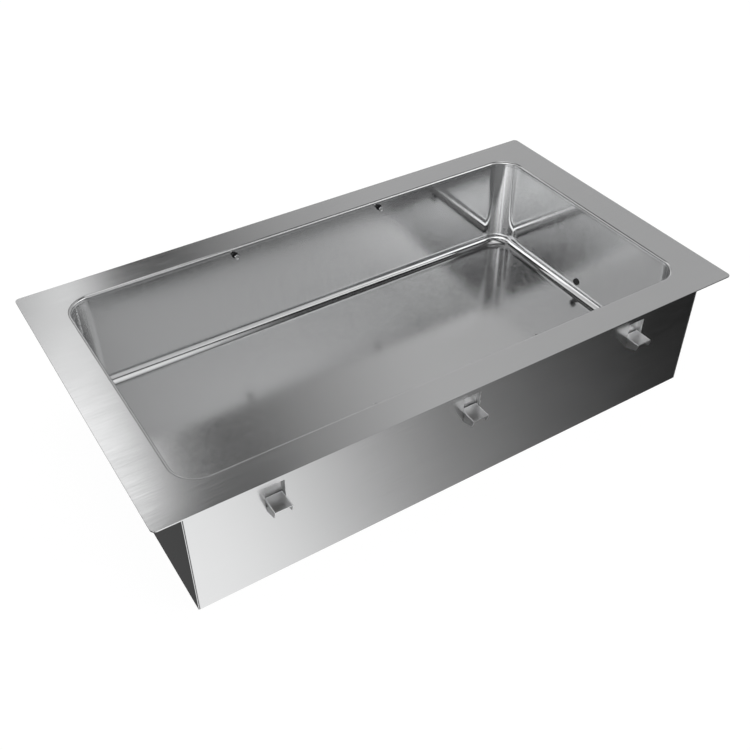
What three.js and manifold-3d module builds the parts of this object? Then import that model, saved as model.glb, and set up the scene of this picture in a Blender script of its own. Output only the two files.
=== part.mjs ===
// Drop-in bain-marie for three standard pans side by side: a drawn water well under a flat rim,
// hung in a folded casing that passes through the worktop, with hinged catches under the rim.
// Millimetres, +Z up, origin on the ground under the middle of the casing, front side towards -Y.

import * as THREE from 'three';
import { mergeVertices } from 'three/addons/utils/BufferGeometryUtils.js';
import Module from 'manifold-3d';

const wasm = await Module();
wasm.setup();

// Clearances
const fit = 0.3;
const overrun = 5;

// Pans and the well that takes them
const panCount = 3;
const panWidth = 325;
const panLength = 530;
const panPlay = 10;
const panRest = 11;
const wellCorner = 45;
const wellDepth = 200;
const floorFillet = 20;
const tankSheet = 1.5;
const wellLength = panCount * panWidth + panPlay;
const wellWidth = panLength - 2 * panRest;

// Rim
const rimEndMargin = 70;
const rimSideMargin = 58.5;
const rimCorner = 8;
const rimSheet = 2;
const rimRoll = 5;
const rimLip = 10;
const rimLength = wellLength + 2 * rimEndMargin;
const rimWidth = wellWidth + 2 * rimSideMargin;

// Casing
const endOverhang = 50;
const sideOverhang = 27;
const casingSheet = 1.2;
const casingBend = 2;
const casingFlange = 14;
const casingReturn = 14;
const casingLength = rimLength - 2 * endOverhang;
const casingWidth = rimWidth - 2 * sideOverhang;

// Layers between the ground and the floor of the well
const baseRecess = 3.5;
const padThickness = 20;
const airGap = 5.2;
const strapSheet = 1.5;
const heaterDiameter = 6.5;
const spreaderSheet = 3;

// Heights that follow from the layers
const baseTop = baseRecess + casingSheet;
const padTop = baseTop + padThickness;
const strapUnder = padTop + airGap;
const heaterUnder = strapUnder + strapSheet + fit;
const spreaderUnder = heaterUnder + heaterDiameter + fit;
const floorUnder = spreaderUnder + spreaderSheet;
const floorTop = floorUnder + tankSheet;
const rimTop = floorTop + wellDepth;
const rimUnder = rimTop - rimSheet;

// Places in plan
const casingEnd = casingLength / 2;
const casingSide = casingWidth / 2;
const insideEnd = casingEnd - casingSheet;
const insideSide = casingSide - casingSheet;

// Facets
const cornerSteps = 8;
const filletSteps = 6;
const bendSteps = 3;
const roundSteps = 20;
const smallRoundSteps = 12;
const arcSteps = 2;

// Finishes
const brushedSteel = { color: 0xb4b6b8, roughness: 0.32, metalness: 1 };
const dullSteel = { color: 0x9a9c9e, roughness: 0.45, metalness: 1 };
const aluminium = { color: 0xc4c6c8, roughness: 0.4, metalness: 1 };
const brass = { color: 0xb08d4a, roughness: 0.35, metalness: 1 };
const blackRubber = { color: 0x1c1c1d, roughness: 0.85, metalness: 0 };
const blackPlastic = { color: 0x222326, roughness: 0.5, metalness: 0 };
const palePlastic = { color: 0xd8d6cf, roughness: 0.5, metalness: 0 };
const mineralWool = { color: 0xb9a86a, roughness: 1, metalness: 0 };
const darkSheath = { color: 0x4d4c4a, roughness: 0.55, metalness: 1 };

const bainMarie = new THREE.Group();

// Adds one named piece with its finish.
function addPiece(name, geometry, finish) {
  const mesh = new THREE.Mesh(outward(geometry), new THREE.MeshStandardMaterial(finish));
  mesh.name = name;
  bainMarie.add(mesh);
}

// Shared points joined, empty triangles dropped and the faces turned outwards.
function outward(geometry) {
  const bare = geometry.clone();
  bare.deleteAttribute('normal');
  bare.deleteAttribute('uv');
  const joined = mergeVertices(bare);
  const at = joined.getAttribute('position');
  const corner = (i) => new THREE.Vector3().fromBufferAttribute(at, i);
  const kept = [];
  let volume = 0;
  for (let i = 0; i < joined.index.count; i += 3) {
    const [a, b, c] = [0, 1, 2].map((k) => joined.index.getX(i + k));
    if (a !== b && b !== c && c !== a) {
      kept.push([a, b, c]);
      volume += corner(a).dot(corner(b).cross(corner(c)));
    }
  }
  joined.setIndex(kept.flatMap(([a, b, c]) => (volume < 0 ? [a, c, b] : [a, b, c])));
  joined.computeVertexNormals();
  return joined;
}

// A closed geometry as a solid for cutting and joining, and back.
function solid(geometry) {
  const closed = outward(geometry);
  const vertProperties = new Float32Array(closed.getAttribute('position').array);
  const triVerts = new Uint32Array(closed.index.array);
  return new wasm.Manifold(new wasm.Mesh({ numProp: 3, vertProperties, triVerts }));
}

function shell(body) {
  const { vertProperties, triVerts } = body.getMesh();
  const geometry = new THREE.BufferGeometry();
  geometry.setAttribute('position', new THREE.BufferAttribute(vertProperties, 3));
  geometry.setIndex(new THREE.BufferAttribute(triVerts, 1));
  return geometry;
}

function cut(geometry, ...tools) {
  return shell(tools.reduce((body, tool) => body.subtract(solid(tool)), solid(geometry)));
}

function join(...parts) {
  return shell(parts.slice(1).reduce((body, part) => body.add(solid(part)), solid(parts[0])));
}

function common(...parts) {
  return shell(parts.slice(1).reduce((body, part) => body.intersect(solid(part)), solid(parts[0])));
}

// Block between two corners.
function block(x0, x1, y0, y1, z0, z1) {
  const geometry = new THREE.BoxGeometry(x1 - x0, y1 - y0, z1 - z0);
  return geometry.translate((x0 + x1) / 2, (y0 + y1) / 2, (z0 + z1) / 2);
}

// Flat outline pushed out along an axis. Its own two directions are the next two axes in turn.
function push(shape, axis, from, to, segments = roundSteps / 2) {
  const turn = {
    x: [new THREE.Vector3(0, 1, 0), new THREE.Vector3(0, 0, 1), new THREE.Vector3(1, 0, 0)],
    y: [new THREE.Vector3(0, 0, 1), new THREE.Vector3(1, 0, 0), new THREE.Vector3(0, 1, 0)],
    z: [new THREE.Vector3(1, 0, 0), new THREE.Vector3(0, 1, 0), new THREE.Vector3(0, 0, 1)],
  }[axis];
  const options = { depth: to - from, bevelEnabled: false, curveSegments: segments };
  const geometry = new THREE.ExtrudeGeometry(shape, options).translate(0, 0, from);
  return geometry.applyMatrix4(new THREE.Matrix4().makeBasis(...turn));
}

// Round bar between two places along an axis, through a point in the plane across it.
function bar(axis, radius, from, to, a, b, steps = smallRoundSteps) {
  const geometry = new THREE.CylinderGeometry(radius, radius, to - from, steps);
  geometry.rotateX(Math.PI / 2).translate(a, b, (from + to) / 2);
  const turn = {
    x: [new THREE.Vector3(0, 1, 0), new THREE.Vector3(0, 0, 1), new THREE.Vector3(1, 0, 0)],
    y: [new THREE.Vector3(0, 0, 1), new THREE.Vector3(1, 0, 0), new THREE.Vector3(0, 1, 0)],
    z: [new THREE.Vector3(1, 0, 0), new THREE.Vector3(0, 1, 0), new THREE.Vector3(0, 0, 1)],
  }[axis];
  return geometry.applyMatrix4(new THREE.Matrix4().makeBasis(...turn));
}

// Turned piece about Z: the profile is a list of radius and height, starting and ending on the axis.
function turned(profile, steps = smallRoundSteps) {
  const geometry = new THREE.LatheGeometry(profile.map(([r, z]) => new THREE.Vector2(r, z)), steps);
  return geometry.rotateX(Math.PI / 2);
}

// Hexagonal nut with a bore, standing on the plane z = 0.
function hexNut(acrossFlats, height, bore) {
  const outline = new THREE.Shape();
  const reach = acrossFlats / Math.sqrt(3);
  for (let k = 0; k < 6; k += 1) {
    const angle = k * Math.PI / 3;
    const point = [reach * Math.cos(angle), reach * Math.sin(angle)];
    if (k === 0) outline.moveTo(...point);
    else outline.lineTo(...point);
  }
  outline.holes.push(new THREE.Path().absarc(0, 0, bore, 0, 2 * Math.PI));
  return push(outline, 'z', 0, height);
}

// Points of a rectangle with round corners, all at one height.
function ring(length, width, corner, z) {
  const points = [];
  for (let k = 0; k < 4; k += 1) {
    const alongX = k === 0 || k === 3 ? 1 : -1;
    const alongY = k < 2 ? 1 : -1;
    for (let i = 0; i <= cornerSteps; i += 1) {
      const angle = (k + i / cornerSteps) * Math.PI / 2;
      const x = alongX * (length / 2 - corner) + corner * Math.cos(angle);
      const y = alongY * (width / 2 - corner) + corner * Math.sin(angle);
      points.push(new THREE.Vector3(x, y, z));
    }
  }
  return points;
}

// Skin through rings of equally many points, either closed on itself or capped at both ends.
function skin(rings, closed) {
  const count = rings[0].length;
  const index = [];
  const bands = closed ? rings.length : rings.length - 1;
  for (let r = 0; r < bands; r += 1) {
    for (let i = 0; i < count; i += 1) {
      const [a, b] = [r * count + i, r * count + (i + 1) % count];
      const next = ((r + 1) % rings.length) * count;
      const [c, d] = [next + i, next + (i + 1) % count];
      index.push(a, b, d, a, d, c);
    }
  }
  if (!closed) {
    const last = (rings.length - 1) * count;
    for (let i = 1; i < count - 1; i += 1) {
      index.push(0, i + 1, i, last, last + i, last + i + 1);
    }
  }
  const geometry = new THREE.BufferGeometry().setFromPoints(rings.flat());
  geometry.setIndex(index);
  return geometry;
}

// Section of a folded sheet. The path runs along one face, the sheet lies on its left, and every
// right-angled fold is an arc with the given outer radius.
function foldedSection(path, sheet, bend) {
  const facing = [];
  const behind = [];
  const points = path.map(([u, v]) => new THREE.Vector2(u, v));
  const leftOf = (d) => new THREE.Vector2(-d.y, d.x);
  points.forEach((point, i) => {
    const before = i > 0 ? point.clone().sub(points[i - 1]).normalize() : null;
    const after = i < points.length - 1 ? points[i + 1].clone().sub(point).normalize() : null;
    if (!before || !after) {
      facing.push(point);
      behind.push(point.clone().addScaledVector(leftOf(before || after), sheet));
      return;
    }
    const left = Math.sign(before.cross(after));
    const near = left > 0 ? bend : bend - sheet;
    const centre = point.clone().addScaledVector(before, -near);
    centre.addScaledVector(leftOf(before), left * near);
    const start = Math.atan2(-left * leftOf(before).y, -left * leftOf(before).x);
    for (let k = 0; k <= bendSteps; k += 1) {
      const angle = start + left * (k / bendSteps) * Math.PI / 2;
      const ray = new THREE.Vector2(Math.cos(angle), Math.sin(angle));
      facing.push(centre.clone().addScaledVector(ray, near));
      behind.push(centre.clone().addScaledVector(ray, near - left * sheet));
    }
  });
  return new THREE.Shape([...facing, ...behind.reverse()]);
}

// Outline of a rectangle with square notches at its corners.
function notchedRectangle(length, width, notch) {
  const shape = new THREE.Shape();
  const [ex, ey] = [length / 2, width / 2];
  const quarter = [[ex, ey - notch], [ex - notch, ey - notch], [ex - notch, ey]];
  const mirror = (points, mx, my) => points.map(([x, y]) => [mx * x, my * y]);
  const outline = [
    ...quarter, ...mirror(quarter, -1, 1).reverse(),
    ...mirror(quarter, -1, -1), ...mirror(quarter, 1, -1).reverse(),
  ];
  outline.forEach(([x, y], i) => (i === 0 ? shape.moveTo(x, y) : shape.lineTo(x, y)));
  return shape.closePath();
}

function rectangle(x0, x1, y0, y1) {
  return new THREE.Shape().moveTo(x0, y0).lineTo(x1, y0).lineTo(x1, y1).lineTo(x0, y1).closePath();
}

// Round hole for a flat outline.
function roundHole(x, y, radius) {
  return new THREE.Path().absarc(x, y, radius, 0, 2 * Math.PI);
}

// Slot with round ends, along Y.
function slotHole(x, y, length, width) {
  const path = new THREE.Path();
  const reach = (length - width) / 2;
  path.absarc(x, y + reach, width / 2, 0, Math.PI);
  path.absarc(x, y - reach, width / 2, Math.PI, 2 * Math.PI);
  return path.closePath();
}

// Drain in the front left corner of the floor, where the near wall of the well hides it.
const drainFlange = 27;
const drainFlangeSheet = 2;
const drainTail = 16.6;
const drainBore = 12.5;
const drainSealSheet = 1;
const drainNutFlats = 44;
const drainNutHeight = 8;
const drainGroundGap = 1.5;
const drainSeatDepth = 4;
const drainMouth = 16.5;
const drainEndInset = 52.5;
const drainSideInset = 54;
const drainX = -(wellLength / 2 - drainEndInset);
const drainY = -(wellWidth / 2 - drainSideInset);

// Level probe low in the middle of the right end wall.
const probeHeight = 28;
const probeOffset = -5;
const probeFlange = 7.5;
const probeFlangeSheet = 1.5;
const probeThread = 5.5;
const probeBore = 4.2;
const probeReach = 13;
const probeSealSheet = 1;
const probeNutFlats = 17;
const probeNutHeight = 5;
const probeRod = 3;
const probeRodLength = 9;
const probeZ = floorTop + probeHeight;

// Drawn tank: straight walls, round upright corners and a round fillet all round the floor.
function wellTank() {
  const inset = (distance, z) => ring(
    wellLength - 2 * distance, wellWidth - 2 * distance, wellCorner - distance, z);
  const turns = Array.from({ length: filletSteps + 1 }, (_, i) => i / filletSteps * Math.PI / 2);
  const centreZ = floorTop + floorFillet;
  const fillet = (radius) => turns.map(
    (t) => inset(floorFillet - radius * Math.cos(t), centreZ - radius * Math.sin(t)));
  const inner = fillet(floorFillet).reverse();
  const outer = fillet(floorFillet + tankSheet);
  const top = rimTop - rimLip;
  const tank = skin([...inner, inset(0, top), inset(-tankSheet, top), ...outer], false);
  const drainHole = bar(
    'z', drainTail + fit, floorUnder - overrun, floorTop + overrun, drainX, drainY, roundSteps);
  const wall = wellLength / 2;
  const probeHole = bar(
    'x', probeThread + fit, wall - overrun, wall + overrun, probeOffset, probeZ, roundSteps);
  return cut(tank, drainHole, probeHole);
}

// Flat rim whose opening is rolled down into a short lip that the tank is welded under.
function rimPlate() {
  const inset = (distance, z) => ring(
    wellLength - 2 * distance, wellWidth - 2 * distance, wellCorner - distance, z);
  const turns = Array.from({ length: bendSteps + 1 }, (_, i) => i / bendSteps * Math.PI / 2);
  const centreZ = rimTop - rimRoll;
  const roll = (radius) => turns.map(
    (t) => inset(radius * Math.sin(t) - rimRoll, centreZ + radius * Math.cos(t)));
  const lipZ = rimTop - rimLip;
  return skin([
    ring(rimLength, rimWidth, rimCorner, rimTop),
    ...roll(rimRoll),
    inset(0, lipZ),
    inset(-rimSheet, lipZ),
    ...roll(rimRoll - rimSheet).reverse(),
    ring(rimLength, rimWidth, rimCorner, rimUnder),
  ], true);
}

// Foam strip under the edge of the rim, which seals it to the counter.
const sealMargin = 3;
const sealWidth = 10;
const sealThickness = 3;
const sealUnder = rimUnder - sealThickness;

function rimSeal() {
  const outerRing = (z) => ring(
    rimLength - 2 * sealMargin, rimWidth - 2 * sealMargin, rimCorner - sealMargin, z);
  const inside = sealMargin + sealWidth;
  const innerRing = (z) => ring(
    rimLength - 2 * inside, rimWidth - 2 * inside, rimCorner - sealMargin, z);
  return skin([outerRing(rimUnder), innerRing(rimUnder), innerRing(sealUnder), outerRing(sealUnder)], true);
}

// Hinged catches, three along each long side. Each is a channel with its flanges down that stands
// out of a window in the casing. The edge of the cut-out folds it up into the window as the casing
// drops in, and below the worktop it falls back out until its flanges rest against the casing.
const catchEndInset = 147.5;
const catchDrop = 72;
const catchWidth = 31.5;
const catchReach = 26.5;
const catchSheet = 1.5;
const catchBend = 2.5;
const catchRootDepth = 22;
const catchNotch = 11;
const catchTipDepth = 15;
const catchTipEdge = 4;
const catchTipSlope = 4;
const hingeInset = 6;
const hingePin = 1.5;
const hingeEye = 4;
const hingeHead = 2.4;
const hingeHeadHeight = 1;
const windowPlay = 1.25;
const bracketSheet = 1.5;
const bracketBend = 2.5;
const bracketFoot = 11;
const bracketOverlap = 5;
const catchPitch = casingEnd - catchEndInset;
const catchTop = rimTop - catchDrop;
const hingeZ = catchTop - hingeEye;
const windowHalf = catchWidth / 2 + windowPlay;
const windowTop = hingeZ + catchReach + hingeInset + windowPlay;
const windowSill = catchTop - catchNotch - windowPlay;
const bracketRecess = hingeInset + hingeEye + 2 * fit;
const earInside = catchWidth / 2 + fit;
const earOutside = earInside + bracketSheet;
const catchPlaces = [
  { name: 'left', x: -catchPitch }, { name: 'middle', x: 0 }, { name: 'right', x: catchPitch },
];
const sides = [{ name: 'front', out: -1 }, { name: 'back', out: 1 }];

// A piece made for the front side, at its place along the casing and mirrored for the back.
function seated(geometry, x, out) {
  const placed = geometry.clone().translate(x, -casingSide, 0);
  return out < 0 ? placed : placed.scale(1, -1, 1);
}

// Bracket: a hat section spot-welded behind the window, open to it, with the hinge in its sides.
function catchBracket() {
  const foot = earOutside + bracketFoot;
  const plan = foldedSection([
    [-foot, casingSheet], [-earInside, casingSheet], [-earInside, bracketRecess],
    [earInside, bracketRecess], [earInside, casingSheet], [foot, casingSheet],
  ], bracketSheet, bracketBend);
  const hat = push(plan, 'z', windowSill - bracketOverlap, windowTop + bracketOverlap);
  const across = foot + overrun;
  return cut(hat, bar('x', hingePin + fit, -across, across, hingeInset, hingeZ));
}

// Catch: a channel with its flanges down. They are notched over the sill of the window, round at
// the hinge and cut back towards the tip.
function catchTongue() {
  const half = catchWidth / 2;
  const low = catchTop - catchRootDepth;
  const section = foldedSection([
    [low - overrun, -half], [catchTop, -half], [catchTop, half], [low - overrun, half],
  ], catchSheet, catchBend);
  const channel = push(section, 'y', -catchReach - overrun, bracketRecess + overrun);
  const notch = catchTop - catchNotch;
  const side = new THREE.Shape();
  side.moveTo(-fit, low).lineTo(-fit, notch).lineTo(hingeInset, notch);
  side.lineTo(hingeInset + hingeEye, hingeZ);
  side.absarc(hingeInset, hingeZ, hingeEye, 0, Math.PI / 2);
  side.lineTo(-catchReach, catchTop).lineTo(-catchReach, catchTop - catchTipEdge);
  side.lineTo(catchTipSlope - catchReach, catchTop - catchTipDepth).closePath();
  const sideView = push(side, 'x', -half - overrun, half + overrun, arcSteps);
  const pinHole = bar('x', hingePin + fit, -half - overrun, half + overrun, hingeInset, hingeZ);
  return cut(common(channel, sideView), pinHole);
}

// Riveted pin with a flat head outside each side of the bracket.
function catchHingePin() {
  const headStart = earOutside + fit;
  const headEnd = headStart + hingeHeadHeight;
  const pin = turned([
    [0, -headEnd], [hingeHead, -headEnd], [hingeHead, -headStart], [hingePin, -headStart],
    [hingePin, headStart], [hingeHead, headStart], [hingeHead, headEnd], [0, headEnd],
  ]);
  return pin.rotateY(Math.PI / 2).translate(0, hingeInset, hingeZ);
}

function addCatches() {
  sides.forEach(({ name: sideName, out }) => {
    catchPlaces.forEach(({ name, x }) => {
      const label = `${sideName}_${name}`;
      addPiece(`${label}_bracket`, seated(catchBracket(), x, out), brushedSteel);
      addPiece(`${label}_catch`, seated(catchTongue(), x, out), brushedSteel);
      addPiece(`${label}_hinge_pin`, seated(catchHingePin(), x, out), dullSteel);
    });
  });
}

// Cable gland and earth stud low on the back of the casing, at its right end.
const glandThread = 10;
const glandBore = 6;
const glandCollarFlats = 24;
const glandCollarHeight = 4;
const glandDome = 11;
const glandDomeHeight = 8;
const glandInside = 9;
const glandNutHeight = 4;
const glandNutFlats = 24;
const glandEndInset = 42;
const glandZ = 20;
const glandX = casingEnd - glandEndInset;
const earthThread = 3;
const earthLength = 12;
const earthInside = 4;
const earthInsideHead = 5;
const earthNutFlats = 10;
const earthNutHeight = 4;
const earthSpacing = 38;
const earthX = glandX - earthSpacing;

// Long wall: one sheet, folded back at both ends and folded in under the rim.
function longPanel(out) {
  const top = rimUnder;
  const plan = foldedSection([
    [-insideEnd, casingReturn - casingSide], [-insideEnd, -casingSide],
    [insideEnd, -casingSide], [insideEnd, casingReturn - casingSide],
  ], casingSheet, casingBend);
  const wall = push(plan, 'z', 0, top - casingBend);
  const flange = foldedSection([
    [casingFlange - casingSide, top], [-casingSide, top], [-casingSide, top - casingFlange],
  ], casingSheet, casingBend);
  const reach = insideEnd - casingReturn;
  const through = (radius, x) => bar(
    'y', radius, -casingSide - overrun, -insideSide + overrun, glandZ, x, roundSteps);
  const holes = catchPlaces.map(({ x }) => block(x - windowHalf, x + windowHalf,
    -casingSide - overrun, -insideSide + overrun, windowSill, windowTop));
  if (out > 0) {
    holes.push(through(glandThread + fit, glandX), through(earthThread + fit, earthX));
  }
  const panel = cut(join(wall, push(flange, 'x', -reach, reach)), ...holes);
  return out < 0 ? panel : panel.scale(1, -1, 1);
}

// End wall: one sheet that laps over the returns of the long walls, folded in under the rim.
function endPanel(out) {
  const top = rimUnder;
  const wall = block(insideEnd, casingEnd, -casingSide, casingSide, 0, top - casingBend);
  const flange = foldedSection([
    [top, casingEnd - casingFlange], [top, casingEnd], [top - casingFlange, casingEnd],
  ], casingSheet, casingBend);
  const reach = casingSide - casingReturn - casingBend;
  const panel = join(wall, push(flange, 'y', -reach, reach));
  return out > 0 ? panel : panel.scale(-1, 1, 1);
}

// Base: angle rails inside the long walls carry a sheet that is screwed on from below.
const railHeight = 12;
const railWidth = 15;
const railSheet = 1.5;
const railEndInset = 122.5;
const baseScrewCount = 5;
const baseScrewShank = 2;
const baseScrewHead = 4;
const baseScrewHeadHeight = 2.2;
const baseScrewLength = 6;
const baseScrewEndInset = 20;
const ventCount = 9;
const ventPitch = 14;
const ventLength = 70;
const ventWidth = 5;
const ventSpacing = 480;
const railEnd = casingEnd - railEndInset;
const baseScrewY = insideSide - railWidth / 2;
const baseScrewXs = Array.from({ length: baseScrewCount }, (_, i) => (
  (2 * i / (baseScrewCount - 1) - 1) * (railEnd - baseScrewEndInset)));

function baseRail(out) {
  const section = foldedSection([
    [-insideSide, baseTop + railHeight], [-insideSide, baseTop], [railWidth - insideSide, baseTop],
  ], railSheet, casingBend);
  const holes = baseScrewXs.map((x) => bar('z', baseScrewShank + fit, baseTop - overrun,
    baseTop + overrun, x, -baseScrewY));
  const rail = cut(push(section, 'x', -railEnd, railEnd), ...holes);
  return out < 0 ? rail : rail.scale(1, -1, 1);
}

// The screws stand in the base as one piece with it.
function basePlate() {
  const notch = casingReturn + casingBend;
  const sheet = notchedRectangle(2 * (insideEnd - fit), 2 * (insideSide - fit), notch);
  [-1, 1].forEach((k) => {
    for (let i = 0; i < ventCount; i += 1) {
      const x = k * ventSpacing / 2 + (i - (ventCount - 1) / 2) * ventPitch;
      sheet.holes.push(slotHole(x, 0, ventLength, ventWidth));
    }
  });
  const screw = () => turned([
    [0, -baseScrewHeadHeight], [baseScrewHead, -baseScrewHeadHeight], [baseScrewHead, 0],
    [baseScrewShank, 0], [baseScrewShank, baseScrewLength], [0, baseScrewLength],
  ], smallRoundSteps / 2);
  const screws = sides.flatMap(({ out }) => baseScrewXs.map(
    (x) => screw().translate(x, out * baseScrewY, baseRecess)));
  const drainRoom = bar('z', drainTail + overrun, baseRecess - overrun, baseTop + overrun,
    drainX, drainY, roundSteps);
  const plate = cut(push(sheet, 'z', baseRecess, baseTop, arcSteps), drainRoom);
  return join(plate, ...screws);
}

// Mineral wool round the tank and on the base.
const woolThickness = 14;
const woolTopDrop = 20;
const woolRise = 8;
const padEndInset = 20;
const padSideInset = 20;
const padClearance = 6;

function sideInsulation() {
  const inside = tankSheet + fit;
  const outline = (distance, z) => ring(
    wellLength + 2 * distance, wellWidth + 2 * distance, wellCorner + distance, z);
  const [low, high] = [floorTop + woolRise, rimUnder - woolTopDrop];
  const band = skin([
    outline(inside, low), outline(inside, high),
    outline(inside + woolThickness, high), outline(inside + woolThickness, low),
  ], true);
  const wall = wellLength / 2;
  const probeRoom = bar('x', probeNutFlats, wall, wall + woolThickness + 2 * overrun,
    probeOffset, probeZ);
  return cut(band, probeRoom);
}

function floorInsulation() {
  const [ex, ey] = [insideEnd - padEndInset, insideSide - padSideInset];
  const sheet = rectangle(-ex, ex, -ey, ey);
  sheet.holes.push(roundHole(drainX, drainY, drainNutFlats / Math.sqrt(3) + padClearance));
  sides.forEach(({ out }) => sheet.holes.push(
    roundHole(out * thermostatX, 0, thermostatEar + padClearance)));
  const pad = push(sheet, 'z', baseTop, padTop);
  const [tx, ty] = [terminalLength / 2 + padClearance, terminalWidth / 2 + padClearance];
  const boxRoom = block(terminalX - tx, terminalX + tx + padEndInset, terminalY - ty, terminalY + ty,
    baseTop - overrun, padTop + overrun);
  return cut(pad, boxRoom);
}

// Heating: a plate bonded under the floor, with one bent element for each pan under it.
const spreaderEndInset = 62.5;
const spreaderSideInset = 84;
const heaterRuns = 4;
const heaterPitch = 52;
const heaterReach = 135;
const heaterTail = 40;
const heaterSides = 8;
const strapReach = 88;
const strapFoot = 12;
const strapWidth = 14;
const strapPlaceShare = 0.6;
const heaterNames = ['left', 'middle', 'right'];
const heaterX = (i) => (i - (panCount - 1) / 2) * panWidth;

function heatSpreader() {
  const [ex, ey] = [wellLength / 2 - spreaderEndInset, wellWidth / 2 - spreaderSideInset];
  return block(-ex, ex, -ey, ey, spreaderUnder, floorUnder);
}

// Middle line of an element: straight runs joined by half turns, with both tails at the back.
function heaterLine() {
  const line = [];
  const radius = heaterPitch / 2;
  for (let run = 0; run < heaterRuns; run += 1) {
    const x = (run - (heaterRuns - 1) / 2) * heaterPitch;
    const down = run % 2 === 0 ? -1 : 1;
    if (run === 0) line.push([x, heaterReach + heaterTail, 0, -1]);
    if (run === heaterRuns - 1) {
      line.push([x, heaterReach + heaterTail, 0, 1]);
      break;
    }
    for (let k = 0; k <= filletSteps; k += 1) {
      const t = k / filletSteps * Math.PI;
      const along = [radius * (1 - Math.cos(t)), radius * Math.sin(t)];
      line.push([x + along[0], down * (heaterReach + along[1]), Math.sin(t), down * Math.cos(t)]);
    }
  }
  return line;
}

function heater(centreX) {
  const radius = heaterDiameter / 2;
  const z = heaterUnder + radius;
  return skin(heaterLine().map(([x, y, dx, dy]) => Array.from({ length: heaterSides }, (_, i) => {
    const angle = (i + 1 / 2) / heaterSides * 2 * Math.PI;
    const across = radius * Math.cos(angle);
    return new THREE.Vector3(centreX + x + across * dy, y - across * dx, z + radius * Math.sin(angle));
  })), false);
}

// Long strap folded into a hat over each element, which holds them up against the plate.
function heaterStrap(side) {
  const footUnder = spreaderUnder - strapSheet;
  const hat = (x) => [
    [footUnder, x + strapReach], [strapUnder, x + strapReach],
    [strapUnder, x - strapReach], [footUnder, x - strapReach],
  ];
  const centres = heaterNames.map((_, i) => heaterX(i)).reverse();
  const foot = strapReach + strapFoot;
  const path = [
    [footUnder, centres[0] + foot], ...centres.flatMap(hat),
    [footUnder, centres[centres.length - 1] - foot],
  ];
  const y = side * strapPlaceShare * heaterReach;
  return push(foldedSection(path, strapSheet, casingBend), 'y', y - strapWidth / 2, y + strapWidth / 2);
}

// Two disc thermostats on the plate, between the elements: one controls, one cuts out.
const thermostatBody = 8;
const thermostatHeight = 11;
const thermostatEar = 14;
const thermostatEarWidth = 9;
const thermostatEarSheet = 1;
const resetPin = 2;
const resetTravel = 1.5;
const resetShow = 3;
const resetDepth = 4;
const thermostatX = panWidth / 2;
const thermostatUnder = spreaderUnder - thermostatHeight;

function thermostat(x, withReset) {
  const body = bar('z', thermostatBody, thermostatUnder, spreaderUnder, x, 0, roundSteps);
  const ears = block(x - thermostatEarWidth / 2, x + thermostatEarWidth / 2,
    -thermostatEar, thermostatEar, spreaderUnder - thermostatEarSheet, spreaderUnder);
  const whole = join(body, ears);
  if (!withReset) return whole;
  const bore = bar('z', resetPin + fit, thermostatUnder - overrun,
    thermostatUnder + resetDepth + resetTravel, x, 0);
  return cut(whole, bore);
}

function resetButton() {
  return bar('z', resetPin, thermostatUnder - resetShow, thermostatUnder + resetDepth - fit,
    thermostatX, 0);
}

// Terminal box on the base, in the right back corner, with its cover and terminal block.
const terminalLength = 56;
const terminalWidth = 90;
const terminalHeight = 17;
const terminalWall = 2;
const terminalCoverSheet = 2;
const terminalEndInset = 44;
const terminalSideInset = 108;
const terminalWays = 5;
const terminalWayPitch = 12;
const terminalBlockDepth = 18;
const terminalBlockHeight = 11;
const terminalScrewHole = 2.5;
const terminalEntry = 5;
const terminalX = insideEnd - terminalEndInset;
const terminalY = insideSide - terminalSideInset;
const terminalTop = baseTop + terminalHeight;

function terminalBox() {
  const [ex, ey] = [terminalLength / 2, terminalWidth / 2];
  const outer = block(terminalX - ex, terminalX + ex, terminalY - ey, terminalY + ey, baseTop, terminalTop);
  const [ix, iy] = [ex - terminalWall, ey - terminalWall];
  const hollow = block(terminalX - ix, terminalX + ix, terminalY - iy, terminalY + iy,
    baseTop + terminalWall, terminalTop + overrun);
  const entry = bar('y', terminalEntry, terminalY + iy - overrun, terminalY + ey + overrun,
    (baseTop + terminalTop + terminalWall) / 2, terminalX);
  return cut(outer, hollow, entry);
}

function terminalCover() {
  const [ex, ey] = [terminalLength / 2, terminalWidth / 2];
  return block(terminalX - ex, terminalX + ex, terminalY - ey, terminalY + ey,
    terminalTop, terminalTop + terminalCoverSheet);
}

function terminalBlock() {
  const half = terminalWays * terminalWayPitch / 2;
  const low = baseTop + terminalWall;
  const body = block(terminalX - terminalBlockDepth / 2, terminalX + terminalBlockDepth / 2,
    terminalY - half, terminalY + half, low, low + terminalBlockHeight);
  const wells = Array.from({ length: terminalWays }, (_, i) => {
    const y = terminalY + (i - (terminalWays - 1) / 2) * terminalWayPitch;
    return bar('z', terminalScrewHole, low + terminalBlockHeight / 2,
      low + terminalBlockHeight + overrun, terminalX, y);
  });
  return cut(body, ...wells);
}

// Cable gland: threaded body through the back wall with its dome outside and its nut inside.
function cableGland() {
  const collar = hexNut(glandCollarFlats, glandCollarHeight, glandBore);
  const dome = turned([
    [glandBore, glandCollarHeight - fit], [glandDome, glandCollarHeight - fit],
    [glandDome, glandCollarHeight + glandDomeHeight / 2],
    [glandBore + terminalWall, glandCollarHeight + glandDomeHeight],
    [glandBore, glandCollarHeight + glandDomeHeight], [glandBore, glandCollarHeight - fit],
  ], roundSteps);
  const thread = turned([
    [glandBore, fit], [glandBore, -casingSheet - glandInside],
    [glandThread, -casingSheet - glandInside], [glandThread, fit], [glandBore, fit],
  ], roundSteps);
  return join(collar, dome, thread).rotateX(-Math.PI / 2).translate(glandX, casingSide, glandZ);
}

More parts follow.
